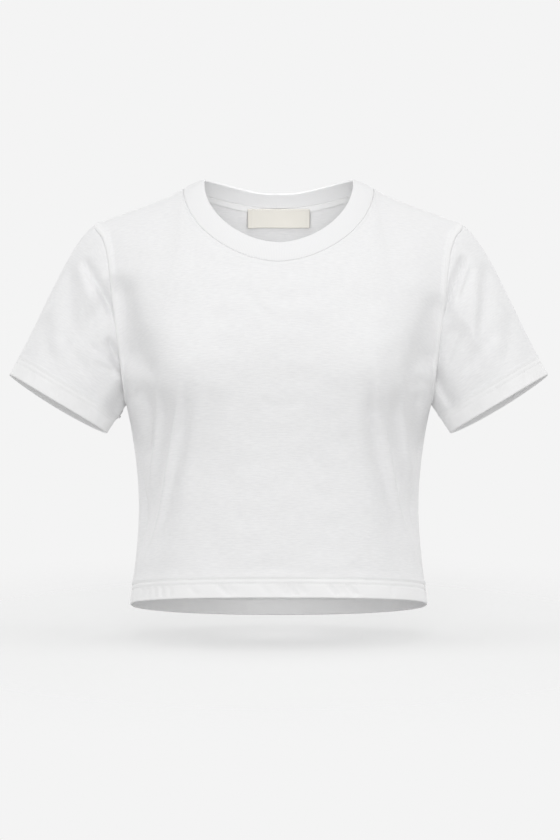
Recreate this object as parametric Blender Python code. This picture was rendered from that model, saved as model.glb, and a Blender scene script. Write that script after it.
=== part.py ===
"""Cropped crew-neck T-shirt with short set-in sleeves, filled out as it is worn, with no wearer inside.

Metres, +Z up. The front faces -Y and the wearer's left is +X. The origin lies midway between the two
points where the shoulder seams meet the neckband, which is where a wearer's shoulders carry the shirt.

Every piece starts as a grid of points on the outer face of the cloth. Front and back lie on one smooth
form, given by a table of levels. Where pieces meet at a seam they share the same points, the wall's
direction there is the mean of theirs, and each piece is then drawn back from the seam by half the gap.
"""

import math
from bisect import bisect_right
from collections import namedtuple

import bmesh
import bpy
from mathutils import Vector

FRONT, BACK = -1, 1

# ---- Cloth -------------------------------------------------------------------------------------------
CLOTH = 0.0012  # wall of one ply of single jersey
RIB = 0.0024  # wall of the folded rib of the neckband
TAPE = 0.0010  # wall of the neck tape and of the woven label
SEAM_GAP = 0.0003  # between pieces at a seam, and between a piece and what lies on it
MOST_SWING = math.radians(38)  # that a wall's edge turns to match its neighbour's at a seam

# ---- Body --------------------------------------------------------------------------------------------
HEM_Z = -0.4448  # lower edge at the side seams
HEM_TILT = 0.091  # how much the hem rises towards the front, for each metre of depth
HEM_SAG = 0.25  # and how much it drops away from the sides, for each square metre
HEM_DEPTH = 0.018  # turned-up hem of the body and of the sleeves
HEM_STEP = 0.0008  # over which the turned-up ply ends
UNDERARM_Z = -0.230  # where the side seam meets the armhole
SQUARE = 2.3  # exponent of the body's level sections: 2 is an ellipse, and more is squarer

Level = namedtuple("Level", "z half front back")
LEVELS = (
    # z, half width of the form, depth of its front, depth of its back
    Level(-0.480, 0.1610, 0.101, 0.092),
    Level(-0.445, 0.1585, 0.102, 0.092),
    Level(-0.400, 0.1530, 0.104, 0.089),
    Level(-0.345, 0.1493, 0.107, 0.087),
    Level(-0.290, 0.1525, 0.112, 0.090),
    Level(UNDERARM_Z, 0.1630, 0.117, 0.096),
    Level(-0.190, 0.1765, 0.117, 0.101),
    Level(-0.150, 0.1930, 0.108, 0.104),
    Level(-0.110, 0.2020, 0.090, 0.102),
    Level(-0.070, 0.2080, 0.069, 0.093),
    Level(-0.030, 0.2140, 0.058, 0.081),
    Level(0.020, 0.2200, 0.052, 0.074),
)

BUST_X, BUST_Z = 0.086, -0.186  # middle of the front's fullness on each side
BUST_SPREAD_X, BUST_SPREAD_Z = 0.056, 0.064
BUST_FULL = 0.008  # how far it stands out

# ---- Shoulders, neckline and armholes ----------------------------------------------------------------
ROLL = 0.100  # height over which the shoulder rounds from the chest to its top
SEAM_FORWARD = 0.12  # how far the shoulder seam lies in front of the top, in radians of that rounding
NECK_X = 0.1035  # half width of the neckline seam at the shoulders
TIP_X = 0.1955  # half width across the shoulder seams' outer ends
NECK_FRONT_Z = -0.0835  # lowest points of the neckline seam
NECK_BACK_Z = -0.0140
NECK_POWER = 1.8  # exponent of the neckline's curve in front
NECK_BACK_POWER = 2.0

Ridge = namedtuple("Ridge", "x z")
SHOULDER = (
    # top of the shoulder at each distance from the middle
    Ridge(0.000, 0.0150),
    Ridge(0.050, 0.0125),
    Ridge(NECK_X, 0.0000),
    Ridge(0.128, -0.0110),
    Ridge(0.159, -0.0225),
    Ridge(0.189, -0.0330),
    Ridge(0.220, -0.0450),
)

Armhole = namedtuple("Armhole", "z x")
ARMHOLE = (
    # how far out the armhole seam is at each height
    Armhole(-0.260, 0.1600),
    Armhole(UNDERARM_Z, 0.1630),
    Armhole(-0.205, 0.1665),
    Armhole(-0.172, 0.1695),
    Armhole(-0.130, 0.1755),
    Armhole(-0.097, 0.1815),
    Armhole(-0.065, 0.1878),
    Armhole(-0.036, TIP_X),
    Armhole(-0.010, 0.2010),
)

# ---- Folds that the front and back fall into ---------------------------------------------------------
Fold = namedtuple("Fold", "x0 z0 x1 z1 x2 z2 width depth")
FRONT_FOLDS = (
    # start, bend and end of each trough (a ridge has a negative depth), its half width and its depth
    Fold(0.117, -0.230, 0.133, -0.275, 0.146, -0.350, 0.0065, 0.0050),
    Fold(0.080, -0.215, 0.108, -0.290, 0.139, -0.425, 0.0120, 0.0045),
    Fold(0.100, -0.215, 0.122, -0.275, 0.152, -0.395, 0.0060, -0.0030),
    Fold(-0.117, -0.233, -0.131, -0.290, -0.146, -0.365, 0.0065, 0.0050),
    Fold(-0.076, -0.215, -0.100, -0.300, -0.137, -0.415, 0.0120, 0.0045),
    Fold(-0.104, -0.225, -0.120, -0.295, -0.152, -0.405, 0.0060, -0.0030),
    Fold(0.160, -0.185, 0.137, -0.198, 0.112, -0.190, 0.0140, 0.0045),
    Fold(-0.160, -0.180, -0.142, -0.200, -0.114, -0.187, 0.0140, 0.0045),
    Fold(0.033, -0.270, 0.052, -0.330, 0.050, -0.425, 0.0130, 0.0022),
    Fold(-0.052, -0.290, -0.060, -0.350, -0.084, -0.430, 0.0130, 0.0020),
)
BACK_FOLDS = (
    Fold(0.120, -0.200, 0.112, -0.290, 0.138, -0.410, 0.0120, 0.0050),
    Fold(-0.126, -0.205, -0.116, -0.300, -0.132, -0.420, 0.0125, 0.0045),
    Fold(0.062, -0.235, 0.058, -0.330, 0.078, -0.450, 0.0130, 0.0040),
    Fold(-0.050, -0.225, -0.062, -0.330, -0.064, -0.450, 0.0140, 0.0045),
    Fold(0.004, -0.300, -0.006, -0.370, 0.008, -0.460, 0.0150, 0.0030),
    Fold(0.150, -0.120, 0.128, -0.165, 0.098, -0.180, 0.0130, 0.0035),
    Fold(-0.152, -0.130, -0.132, -0.170, -0.104, -0.190, 0.0130, 0.0035),
)
FOLD_IN, FOLD_OUT = 0.25, 0.33  # shares of a fold's length over which it deepens and dies away
FOLD_LEAST = 0.12  # start of that easing at the very end of a fold
FADE_CELLS = 3  # columns or rows over which the folds die away at a seam

# ---- Sleeves -----------------------------------------------------------------------------------------
CUFF_OUTER = Vector((0.2875, 0.0, -0.1990))  # outer and inner ends of the sleeve opening
CUFF_INNER = Vector((0.1815, 0.0, -0.2610))
CUFF_HALF_DEPTH = 0.047  # half depth of the opening from front to back
CUFF_FORWARD = 0.006  # how far its middle lies in front of the shoulders
CUFF_TILT = 0.0030  # how much its front edge is higher than its middle along the arm
START_TOP = Vector((0.86, 0.0, -0.51))  # way the cloth leaves the armhole at the top and underarm
START_UNDER = Vector((0.50, 0.0, -0.86))
START_PULL, END_PULL = 0.50, 0.95  # how strongly the sleeve follows its two end directions
SLEEVE_SPREAD = 0.22  # how far its front and back swell as they leave the armhole
SLEEVE_FOLD_IN = 0.33  # share of the sleeve's length over which its folds deepen

SLEEVE_FOLDS = {
    # troughs in the sleeve's front, in x and z as for the front; the width and depth as well
    "left": (
        Fold(0.200, -0.072, 0.190, -0.100, 0.180, -0.135, 0.0085, 0.0050),
        Fold(0.192, -0.135, 0.184, -0.165, 0.170, -0.200, 0.0090, 0.0050),
    ),
    "right": (
        Fold(0.206, -0.080, 0.190, -0.110, 0.177, -0.150, 0.0085, 0.0055),
        Fold(0.192, -0.150, 0.182, -0.178, 0.170, -0.205, 0.0090, 0.0050),
    ),
}

# ---- Neckband, tape and label ------------------------------------------------------------------------
BAND_HEIGHT = 0.025
Lean = namedtuple("Lean", "turn rise")
BAND_LEAN = (
    # rise of the band above the level, in degrees, at each turn round the neck from centre front
    Lean(0.0, 58.0),
    Lean(45.0, 48.0),
    Lean(90.0, 23.0),
    Lean(135.0, 27.0),
    Lean(180.0, 33.0),
)
BAND_BULGE = 0.0010
TAPE_CLEAR = 0.0005  # from the back's inner face to the tape
TAPE_START, TAPE_END = 0.0010, 0.0090  # upper and lower edges of the tape below the neckline seam
LABEL_HALF = 0.033
LABEL_HEIGHT = 0.022
LABEL_TOP_Z = -0.0155
LABEL_CLEAR = 0.0031  # from the outer face of the back to the near face of the label

# ---- Colours, linear ---------------------------------------------------------------------------------
WHITE_JERSEY = (0.83, 0.83, 0.82)
WHITE_RIB = (0.84, 0.84, 0.83)
CREAM_WOVEN = (0.80, 0.77, 0.71)
CLOTH_ROUGHNESS = 0.9

# ---- Grids -------------------------------------------------------------------------------------------
NECK_COLUMNS = 12  # for half of a panel
SHOULDER_COLUMNS = 8
BODY_ROWS = 12  # above the hem and below the underarm
ARMHOLE_ROWS = 14
SLEEVE_ROWS = 10
BAND_ROWS = 3
LABEL_COLUMNS, LABEL_ROWS = 10, 3
ARMHOLE_SAMPLES = 240
ARMHOLE_STEPS = 12  # of the search for a point's distance from the middle
FOLD_SAMPLES = 24
BODY_CORE = Vector((0.0, 0.0, -0.25))  # a point inside the body, for telling inside from outside
NECK_CORE = Vector((0.0, 0.0, -0.15))
SHARP_EDGE = math.radians(50)
ROUND_TO = 1e-5  # points nearer than this are the same


# ---- Curves ------------------------------------------------------------------------------------------
def smooth(table, column, at):
    """A column of a table as a smooth curve over its first column; the curve is level at both ends."""
    keys = [row[0] for row in table]
    values = [getattr(row, column) for row in table]
    last = len(keys) - 1

    def slope(i):
        return (values[i + 1] - values[i - 1]) / (keys[i + 1] - keys[i - 1]) if 0 < i < last else 0.0

    at = min(max(at, keys[0]), keys[last])
    i = min(bisect_right(keys, at) - 1, last - 1)
    gap = keys[i + 1] - keys[i]
    s = (at - keys[i]) / gap
    rise = s * s * (3 - 2 * s)
    leave, arrive = s * (1 - s) ** 2, s * s * (s - 1)
    return values[i] * (1 - rise) + values[i + 1] * rise + gap * (leave * slope(i) + arrive * slope(i + 1))


def ease(s):
    s = min(max(s, 0.0), 1.0)
    return s * s * (3 - 2 * s)


def quarter(width, height, power, turn):
    """A point on a quarter of a superellipse: on its width at turn 0, and on its height at turn 1."""
    angle = turn * math.pi / 2
    return width * math.cos(angle) ** (2 / power), height * math.sin(angle) ** (2 / power)


def fold_depth(folds, x, z):
    """How deep the folds' troughs are at this place, seen from the front."""
    total = 0.0
    for fold in folds:
        nearest, along = math.inf, 0.0
        for i in range(FOLD_SAMPLES + 1):
            s = i / FOLD_SAMPLES
            a, b, c = (1 - s) ** 2, 2 * s * (1 - s), s * s
            fold_x = a * fold.x0 + b * fold.x1 + c * fold.x2
            fold_z = a * fold.z0 + b * fold.z1 + c * fold.z2
            away = math.hypot(fold_x - x, fold_z - z)
            if away < nearest:
                nearest, along = away, s
        fade = ease(along / FOLD_IN + FOLD_LEAST) * ease((1 - along) / FOLD_OUT + FOLD_LEAST)
        total += fold.depth * fade * math.exp(-((nearest / fold.width) ** 2))
    return total


# ---- The form under front and back ---------------------------------------------------------------------
def arch_start(x):
    return smooth(SHOULDER, "z", abs(x)) - ROLL


def lay(side, x, height):
    """The form's point at x and at this height up the cloth, on its front or back.

    The height is z up to where the shoulder starts to round, and from there the length along the
    arch. Past the top of the arch the point lies on the other side.
    """
    start = arch_start(x)
    lift = max(0.0, height - start) / ROLL
    z = min(height, start) + ROLL * math.sin(lift)
    over = math.cos(lift)
    if over < 0:
        side, over = -side, -over
    flat = min(abs(x) / smooth(LEVELS, "half", z), 1.0)
    round_off = (1 - flat**SQUARE) ** (1 / SQUARE)
    depth = smooth(LEVELS, "front" if side == FRONT else "back", z)
    if side == FRONT:
        away = ((abs(x) - BUST_X) / BUST_SPREAD_X) ** 2 + ((z - BUST_Z) / BUST_SPREAD_Z) ** 2
        depth += BUST_FULL * math.exp(-away)
    return Vector((x, side * depth * round_off * over, z))


def height_of(x, z):
    """The height up the cloth, short of the top, of a point at x and z."""
    start = arch_start(x)
    return z if z <= start else start + ROLL * math.asin(min((z - start) / ROLL, 1.0))


def shoulder_height(side, x):
    """The height up the cloth of the shoulder seam."""
    return arch_start(x) + ROLL * (math.pi / 2 + side * SEAM_FORWARD)


def neckline(side, turn):
    """(x, height) on the neckline seam, from the shoulder seam at turn 0 to the centre at turn 1."""
    if side == FRONT:
        top = lay(FRONT, NECK_X, shoulder_height(FRONT, NECK_X)).z
        x, drop = quarter(NECK_X, top - NECK_FRONT_Z, NECK_POWER, turn)
        return x, height_of(x, top - drop) if turn > 0 else shoulder_height(FRONT, NECK_X)
    top = shoulder_height(BACK, NECK_X)
    x, drop = quarter(NECK_X, top - height_of(0.0, NECK_BACK_Z), NECK_BACK_POWER, turn)
    return x, top - drop


def armhole(side):
    """(x, height) at equal lengths along the armhole seam, from the underarm to the shoulder seam."""
    top = shoulder_height(side, TIP_X)
    path = []
    for i in range(ARMHOLE_SAMPLES + 1):
        height = UNDERARM_Z + (top - UNDERARM_Z) * i / ARMHOLE_SAMPLES
        x = TIP_X
        for _ in range(ARMHOLE_STEPS):
            x = min(smooth(ARMHOLE, "x", lay(side, x, height).z), TIP_X)
        path.append((x, height))
    path[-1] = (TIP_X, top)
    points = [lay(side, x, height) for x, height in path]
    lengths = [0.0]
    for a, b in zip(points, points[1:]):
        lengths.append(lengths[-1] + (b - a).length)
    chosen = []
    for row in range(ARMHOLE_ROWS + 1):
        wanted = lengths[-1] * row / ARMHOLE_ROWS
        i = min(range(len(lengths)), key=lambda k: abs(lengths[k] - wanted))
        chosen.append(path[i])
    return chosen


def top_edge(side):
    """(x, height) along a panel's top from the centre: the neckline, then the shoulder seam."""
    edge = [neckline(side, 1 - i / NECK_COLUMNS) for i in range(NECK_COLUMNS + 1)]
    for i in range(1, SHOULDER_COLUMNS + 1):
        x = NECK_X + (TIP_X - NECK_X) * i / SHOULDER_COLUMNS
        edge.append((x, shoulder_height(side, x)))
    return edge


# ---- Grids of points on the outer face -----------------------------------------------------------------
def hem_fractions():
    """Rows of the hem's fold-up, as shares of the way from the hem to the underarm."""
    way = UNDERARM_Z - HEM_Z
    return [0.0, HEM_DEPTH / 2 / way, HEM_DEPTH / way, (HEM_DEPTH + HEM_STEP) / way]


def half_panel(side):
    """Rows of points from hem to top, each from the centre line to the +X edge."""
    top = top_edge(side)
    columns = len(top) - 1
    spread = [math.sin(j / columns * math.pi / 2) ** (2 / SQUARE) for j in range(columns + 1)]
    rows = []
    fractions = hem_fractions()
    last = fractions[-1]
    fractions += [last + (1 - last) * (i + 1) / BODY_ROWS for i in range(BODY_ROWS)]
    for fraction in fractions:
        row = []
        for s in spread:
            y = lay(side, s * smooth(LEVELS, "half", HEM_Z), HEM_Z).y
            hem = HEM_Z - HEM_TILT * y - HEM_SAG * y * y
            z = hem + (UNDERARM_Z - hem) * fraction
            row.append(lay(side, s * smooth(LEVELS, "half", z), z))
        rows.append(row)
    edge = armhole(side)
    low = [(s * smooth(LEVELS, "half", UNDERARM_Z), UNDERARM_Z) for s in spread]
    for i in range(1, ARMHOLE_ROWS + 1):
        up = i / ARMHOLE_ROWS
        centre = (0.0, low[0][1] + (top[0][1] - low[0][1]) * up)
        row = []
        for j in range(columns + 1):
            out = j / columns
            place = []
            for k in (0, 1):
                blend = (1 - up) * low[j][k] + up * top[j][k] + (1 - out) * centre[k] + out * edge[i][k]
                corners = (1 - out) * ((1 - up) * low[0][k] + up * top[0][k])
                corners += out * ((1 - up) * low[-1][k] + up * top[-1][k])
                place.append(blend - corners)
            row.append(lay(side, *place))
        rows.append(row)
    return rows


def whole_panel(side, folds):
    """The half panel with its mirror image, pressed into its folds away from its seams."""
    half = half_panel(side)
    grid = [[Vector((-p.x, p.y, p.z)) for p in row[:0:-1]] + row for row in half]
    normals = grid_normals(grid, False, BODY_CORE)
    columns = len(half[0]) - 1
    top = len(half) - 1
    low = top - ARMHOLE_ROWS
    pressed = []
    for i, row in enumerate(grid):
        below_top = ease((top - i) / FADE_CELLS) if i > low else 1.0
        line = []
        for j, point in enumerate(row):
            inside = ease((columns - abs(j - columns)) / FADE_CELLS)
            depth = fold_depth(folds, point.x, point.z) * inside * below_top
            line.append(point - normals[i][j] * depth)
        pressed.append(line)
    return pressed


def sleeve_grid(side_x, front_ring, back_ring, folds):
    """Rings of points from the armhole to the sleeve's opening, each from the top round by the front."""
    mirror = Vector((side_x, 1.0, 1.0))
    start = front_ring[::-1] + back_ring[1:-1]
    count = len(start)
    outer, inner = CUFF_OUTER * mirror, CUFF_INNER * mirror
    middle = (outer + inner) / 2 - Vector((0.0, CUFF_FORWARD, 0.0))
    long_half = (outer - inner) / 2
    arm = Vector((-long_half.z, 0.0, long_half.x)) * -side_x
    arm.normalize()
    rows = [[] for _ in range(SLEEVE_ROWS + 3)]
    for j, begin in enumerate(start):
        angle = 2 * math.pi * j / count
        ahead = -math.sin(angle)
        end = middle + long_half * math.cos(angle) + Vector((0.0, CUFF_HALF_DEPTH * ahead, 0.0))
        end += arm * (CUFF_TILT * ahead)
        under = (1 - math.cos(angle)) / 2
        leave = (START_TOP * (1 - under) + START_UNDER * under) * mirror
        leave = (leave + Vector((0.0, SLEEVE_SPREAD * ahead, 0.0))).normalized()
        way = (end - begin).length
        hem = HEM_DEPTH / way
        shares = [(1 - hem - HEM_STEP / way) * i / SLEEVE_ROWS for i in range(SLEEVE_ROWS + 1)]
        shares += [1 - hem, 1.0]
        for row, s in zip(rows, shares):
            rise = s * s * (3 - 2 * s)
            point = begin * (1 - rise) + end * rise
            point += leave * (way * START_PULL * s * (1 - s) ** 2)
            point += arm * (way * END_PULL * s * s * (s - 1))
            if ahead < 0:
                point.y += ease(s / SLEEVE_FOLD_IN) * fold_depth(folds, abs(point.x), point.z)
            row.append(point)
    return rows


def band_grid(ring):
    """Rows from the neckline seam to the neckband's folded top edge, round the whole neck."""
    rows = [[] for _ in range(BAND_ROWS + 1)]
    for point in ring:
        turn = math.degrees(math.atan2(abs(point.x), -point.y))
        rise = math.radians(smooth(BAND_LEAN, "rise", turn))
        inward = Vector((-point.x, -point.y, 0.0)).normalized()
        out = Vector((-inward.x * math.sin(rise), -inward.y * math.sin(rise), math.cos(rise)))
        way = inward * math.cos(rise) + Vector((0.0, 0.0, math.sin(rise)))
        for i, row in enumerate(rows):
            s = i / BAND_ROWS
            row.append(point + way * (BAND_HEIGHT * s) + out * (BAND_BULGE * 4 * s * (1 - s)))
    return rows


def grid_normals(grid, closed, core):
    """Unit normals of a grid of points, pointing away from its core."""
    rows, columns = len(grid), len(grid[0])
    normals = []
    for i in range(rows):
        line = []
        for j in range(columns):
            if closed:
                before, after = grid[i][j - 1], grid[i][(j + 1) % columns]
            else:
                before, after = grid[i][max(j - 1, 0)], grid[i][min(j + 1, columns - 1)]
            below, above = grid[max(i - 1, 0)][j], grid[min(i + 1, rows - 1)][j]
            line.append((after - before).cross(above - below).normalized())
        normals.append(line)
    middle = grid[rows // 2][columns // 2]
    if normals[rows // 2][columns // 2].dot(middle - core) < 0:
        normals = [[-n for n in line] for line in normals]
    return normals


# ---- From grids to closed walls ------------------------------------------------------------------------
class Piece:
    """One cut piece: its outer points, their normals and the wall's thickness in each row."""

    def __init__(self, name, grid, closed, core, walls, colour, fold_edge=False):
        self.name = name
        self.grid = grid
        self.closed = closed
        self.own_normals = grid_normals(grid, closed, core)
        self.normals = [list(line) for line in self.own_normals]
        self.walls = walls
        self.colour = colour
        self.fold_edge = fold_edge

    def is_edge(self, i, j):
        return i in (0, len(self.grid) - 1) or (not self.closed and j in (0, len(self.grid[0]) - 1))

    def neighbours(self, i, j):
        """The points beside an edge point along the edge, and the one inside the piece."""
        rows, columns = len(self.grid), len(self.grid[0])
        pairs = []
        if i in (0, rows - 1):
            inside = self.grid[1 if i == 0 else rows - 2][j]
            if self.closed:
                pairs.append((self.grid[i][j - 1], self.grid[i][(j + 1) % columns], inside))
            else:
                pairs.append((self.grid[i][max(j - 1, 0)], self.grid[i][min(j + 1, columns - 1)], inside))
        if not self.closed and j in (0, columns - 1):
            inside = self.grid[i][1 if j == 0 else columns - 2]
            pairs.append((self.grid[max(i - 1, 0)][j], self.grid[min(i + 1, rows - 1)][j], inside))
        return pairs


def key_of(point):
    return tuple(round(value / ROUND_TO) for value in point)


def mitre_seams(pieces):
    """Gives pieces that meet at a point one wall direction there, except deep in the armpit's crease."""
    shared = {}
    for piece in pieces:
        for i, row in enumerate(piece.grid):
            for j, point in enumerate(row):
                if piece.is_edge(i, j):
                    shared.setdefault(key_of(point), []).append((piece, i, j))
    for places in shared.values():
        total = Vector()
        for piece, i, j in places:
            total += piece.normals[i][j]
        total.normalize()
        for piece, i, j in places:
            swing = piece.own_normals[i][j].angle(total)
            share = min(MOST_SWING / max(swing, MOST_SWING), 1.0)
            piece.normals[i][j] = piece.own_normals[i][j].slerp(total, share)


def open_seams(pieces):
    """Draws each piece back from its edges, square to the wall there, by half the gap."""
    for piece in pieces:
        moved = {}
        for i, row in enumerate(piece.grid):
            for j, point in enumerate(row):
                if not piece.is_edge(i, j):
                    continue
                shift = Vector()
                for before, after, inside in piece.neighbours(i, j):
                    along = after - before
                    back = along.cross(piece.normals[i][j]).normalized()
                    in_cloth = along.cross(piece.own_normals[i][j])
                    shift += back if in_cloth.dot(inside - point) > 0 else -back
                moved[i, j] = point + shift * (SEAM_GAP / 2)
        for (i, j), point in moved.items():
            piece.grid[i][j] = point


def shorter_split(points, corners):
    """The two triangles of a cell, cut along its shorter diagonal, so both halves of a piece match."""
    a, b, c, d = corners
    across = (points[a[0]][a[1]].co - points[c[0]][c[1]].co).length
    other = (points[b[0]][b[1]].co - points[d[0]][d[1]].co).length
    return ((a, b, c), (a, c, d)) if across <= other else ((a, b, d), (b, c, d))


def build(piece):
    """The closed wall of a piece as an object with its own material."""
    rows, columns = len(piece.grid), len(piece.grid[0])
    bm = bmesh.new()
    outer, inner = [], []
    for i in range(rows):
        outer.append([bm.verts.new(p) for p in piece.grid[i]])
        walls = [p - n * piece.walls[i] for p, n in zip(piece.grid[i], piece.normals[i])]
        inner.append([bm.verts.new(p) for p in walls])
    spans = range(columns if piece.closed else columns - 1)
    for i in range(rows - 1):
        for j in spans:
            k = (j + 1) % columns
            corners = ((i, j), (i, k), (i + 1, k), (i + 1, j))
            for corner in shorter_split(outer, corners):
                bm.faces.new([outer[a][b] for a, b in corner])
                bm.faces.new([inner[a][b] for a, b in reversed(corner)])
    for j in spans:
        k = (j + 1) % columns
        bm.faces.new((outer[0][k], outer[0][j], inner[0][j], inner[0][k]))
    crest = []
    if piece.fold_edge:
        for j in range(columns):
            up = (piece.grid[-1][j] - piece.grid[-2][j]).normalized()
            middle = (outer[-1][j].co + inner[-1][j].co) / 2
            crest.append(bm.verts.new(middle + up * piece.walls[-1] / 2))
    for j in spans:
        k = (j + 1) % columns
        if crest:
            bm.faces.new((outer[-1][j], outer[-1][k], crest[k], crest[j]))
            bm.faces.new((crest[j], crest[k], inner[-1][k], inner[-1][j]))
        else:
            bm.faces.new((outer[-1][j], outer[-1][k], inner[-1][k], inner[-1][j]))
    if not piece.closed:
        for i in range(rows - 1):
            bm.faces.new((outer[i][0], outer[i + 1][0], inner[i + 1][0], inner[i][0]))
            bm.faces.new((outer[i + 1][-1], outer[i][-1], inner[i][-1], inner[i + 1][-1]))
    bmesh.ops.recalc_face_normals(bm, faces=bm.faces)
    mesh = bpy.data.meshes.new(piece.name)
    bm.to_mesh(mesh)
    bm.free()
    mesh.shade_smooth()
    mesh.set_sharp_from_angle(angle=SHARP_EDGE)
    mesh.materials.append(cloth_material(piece.name, piece.colour))
    made = bpy.data.objects.new(piece.name, mesh)
    bpy.context.scene.collection.objects.link(made)
    return made


def cloth_material(name, colour):
    material = bpy.data.materials.new(name)
    material.use_nodes = True
    shader = material.node_tree.nodes["Principled BSDF"]
    shader.inputs["Base Color"].default_value = (*colour, 1.0)
    shader.inputs["Roughness"].default_value = CLOTH_ROUGHNESS
    shader.inputs["Metallic"].default_value = 0.0
    return material


# ---- Pieces ------------------------------------------------------------------------------------------
def make_panel(name, side, folds):
    grid = whole_panel(side, folds)
    walls = [2 * CLOTH] * 3 + [CLOTH] * (len(grid) - 3)
    return Piece(name, grid, False, BODY_CORE, walls, WHITE_JERSEY)


def make_sleeve(name, side_x, front, back, folds):
    column = -1 if side_x > 0 else 0
    front_ring = [row[column].copy() for row in front.grid[-ARMHOLE_ROWS - 1 :]]
    back_ring = [row[column].copy() for row in back.grid[-ARMHOLE_ROWS - 1 :]]
    grid = sleeve_grid(side_x, front_ring, back_ring, folds)
    walls = [CLOTH] * (SLEEVE_ROWS + 1) + [2 * CLOTH] * 2
    core = sum(grid[len(grid) // 2], Vector()) / len(grid[0])
    return Piece(name, grid, True, core, walls, WHITE_JERSEY)


def neck_points(panel):
    """A panel's points along the neckline seam, from -X to +X."""
    middle = len(panel.grid[0]) // 2
    return [p.copy() for p in panel.grid[-1][middle - NECK_COLUMNS : middle + NECK_COLUMNS + 1]]


def make_neckband(front, back):
    ring = neck_points(front) + neck_points(back)[-2:0:-1]
    walls = [RIB] * (BAND_ROWS + 1)
    return Piece("neckband", band_grid(ring), True, NECK_CORE, walls, WHITE_RIB, fold_edge=True)


def make_tape(back):
    """The tape follows the back's own points just below the neckline seam, on its inner face."""
    middle = len(back.grid[0]) // 2
    rows = []
    for down in (TAPE_END, (TAPE_START + TAPE_END) / 2, TAPE_START):
        row = []
        for j in range(middle - NECK_COLUMNS, middle + NECK_COLUMNS + 1):
            edge = back.grid[-1][j] - back.normals[-1][j] * CLOTH
            below = back.grid[-2][j] - back.normals[-2][j] * CLOTH
            normal = (back.normals[-1][j] + back.normals[-2][j]).normalized()
            row.append(edge + (below - edge).normalized() * down - normal * TAPE_CLEAR)
        rows.append(row)
    return Piece("back_neck_tape", rows, False, BODY_CORE, [TAPE] * 3, WHITE_JERSEY)


def make_label():
    """The label hangs flat over the tape at the centre back, inside."""
    top = height_of(0.0, LABEL_TOP_Z)
    rows = []
    for i in range(LABEL_ROWS + 1):
        height = top - LABEL_HEIGHT * (1 - i / LABEL_ROWS)
        row = []
        for j in range(LABEL_COLUMNS + 1):
            x = LABEL_HALF * (2 * j / LABEL_COLUMNS - 1)
            row.append(lay(BACK, x, height))
        rows.append(row)
    normals = grid_normals(rows, False, BODY_CORE)
    rows = [[p - n * LABEL_CLEAR for p, n in zip(row, line)] for row, line in zip(rows, normals)]
    return Piece("neck_label", rows, False, BODY_CORE, [TAPE] * (LABEL_ROWS + 1), CREAM_WOVEN)


def main():
    for old in list(bpy.data.objects):
        bpy.data.objects.remove(old, do_unlink=True)
    front = make_panel("front_panel", FRONT, FRONT_FOLDS)
    back = make_panel("back_panel", BACK, BACK_FOLDS)
    left = make_sleeve("sleeve_left", 1, front, back, SLEEVE_FOLDS["left"])
    right = make_sleeve("sleeve_right", -1, front, back, SLEEVE_FOLDS["right"])
    band = make_neckband(front, back)
    sewn = (front, back, left, right, band)
    mitre_seams(sewn)
    tape = make_tape(back)
    label = make_label()
    open_seams(sewn)
    for piece in (*sewn, tape, label):
        build(piece)


main()
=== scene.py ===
import math

import bmesh
import bpy
import numpy as np
from mathutils import Matrix, Vector


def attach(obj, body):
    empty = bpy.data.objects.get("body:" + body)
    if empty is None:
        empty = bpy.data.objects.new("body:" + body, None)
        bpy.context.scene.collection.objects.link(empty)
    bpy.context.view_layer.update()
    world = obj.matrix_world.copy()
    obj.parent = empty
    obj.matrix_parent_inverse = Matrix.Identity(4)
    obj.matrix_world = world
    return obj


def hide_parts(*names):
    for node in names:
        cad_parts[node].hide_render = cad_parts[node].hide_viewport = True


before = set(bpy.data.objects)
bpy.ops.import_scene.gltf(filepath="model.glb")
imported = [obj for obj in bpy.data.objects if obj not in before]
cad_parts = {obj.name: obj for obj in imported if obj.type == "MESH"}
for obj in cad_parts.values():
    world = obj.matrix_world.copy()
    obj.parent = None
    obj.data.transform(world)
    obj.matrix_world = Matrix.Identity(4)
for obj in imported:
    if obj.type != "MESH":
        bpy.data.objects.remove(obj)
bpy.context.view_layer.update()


# ---- Front panel -------------------------------------------------------------------------------------
# The front is one piece of single jersey, knitted from combed cotton, with its wales upright. It hangs
# from the shoulder seams. Its hem is turned up once and sewn with two needles and a looper: two rows of
# stitches outside, and a band of crossing loops inside.
FRONT, BACK = -1, 1  # which way each panel lies along Y
JERSEY = 0.0008  # thickness of one ply
HEM_Z, HEM_TILT, HEM_SAG = -0.4448, 0.091, 0.25
NEEDLE_ROWS = (0.0152, 0.0202)  # heights of the two rows of stitches above the fold of the hem
UNDERARM_Z = -0.230
SQUARE = 2.3  # exponent of the body's level sections, a little squarer than an ellipse

level_z, level_half, level_front, level_back = np.array((
    # height, half width, depth of the front, depth of the back
    (-0.480, 0.1610, 0.101, 0.092),
    (-0.445, 0.1585, 0.102, 0.092),
    (-0.400, 0.1530, 0.104, 0.089),
    (-0.345, 0.1493, 0.107, 0.087),
    (-0.290, 0.1525, 0.109, 0.090),
    (UNDERARM_Z, 0.1630, 0.1145, 0.096),
    (-0.190, 0.1765, 0.1160, 0.101),
    (-0.150, 0.1930, 0.1095, 0.104),
    (-0.110, 0.2020, 0.0965, 0.102),
    (-0.070, 0.2080, 0.0780, 0.093),
    (-0.030, 0.2140, 0.0610, 0.081),
    (0.020, 0.2200, 0.052, 0.074),
)).T
BUST_X, BUST_Z, BUST_SPREAD_X, BUST_SPREAD_Z, BUST_FULL = 0.110, -0.204, 0.046, 0.053, 0.018

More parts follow.
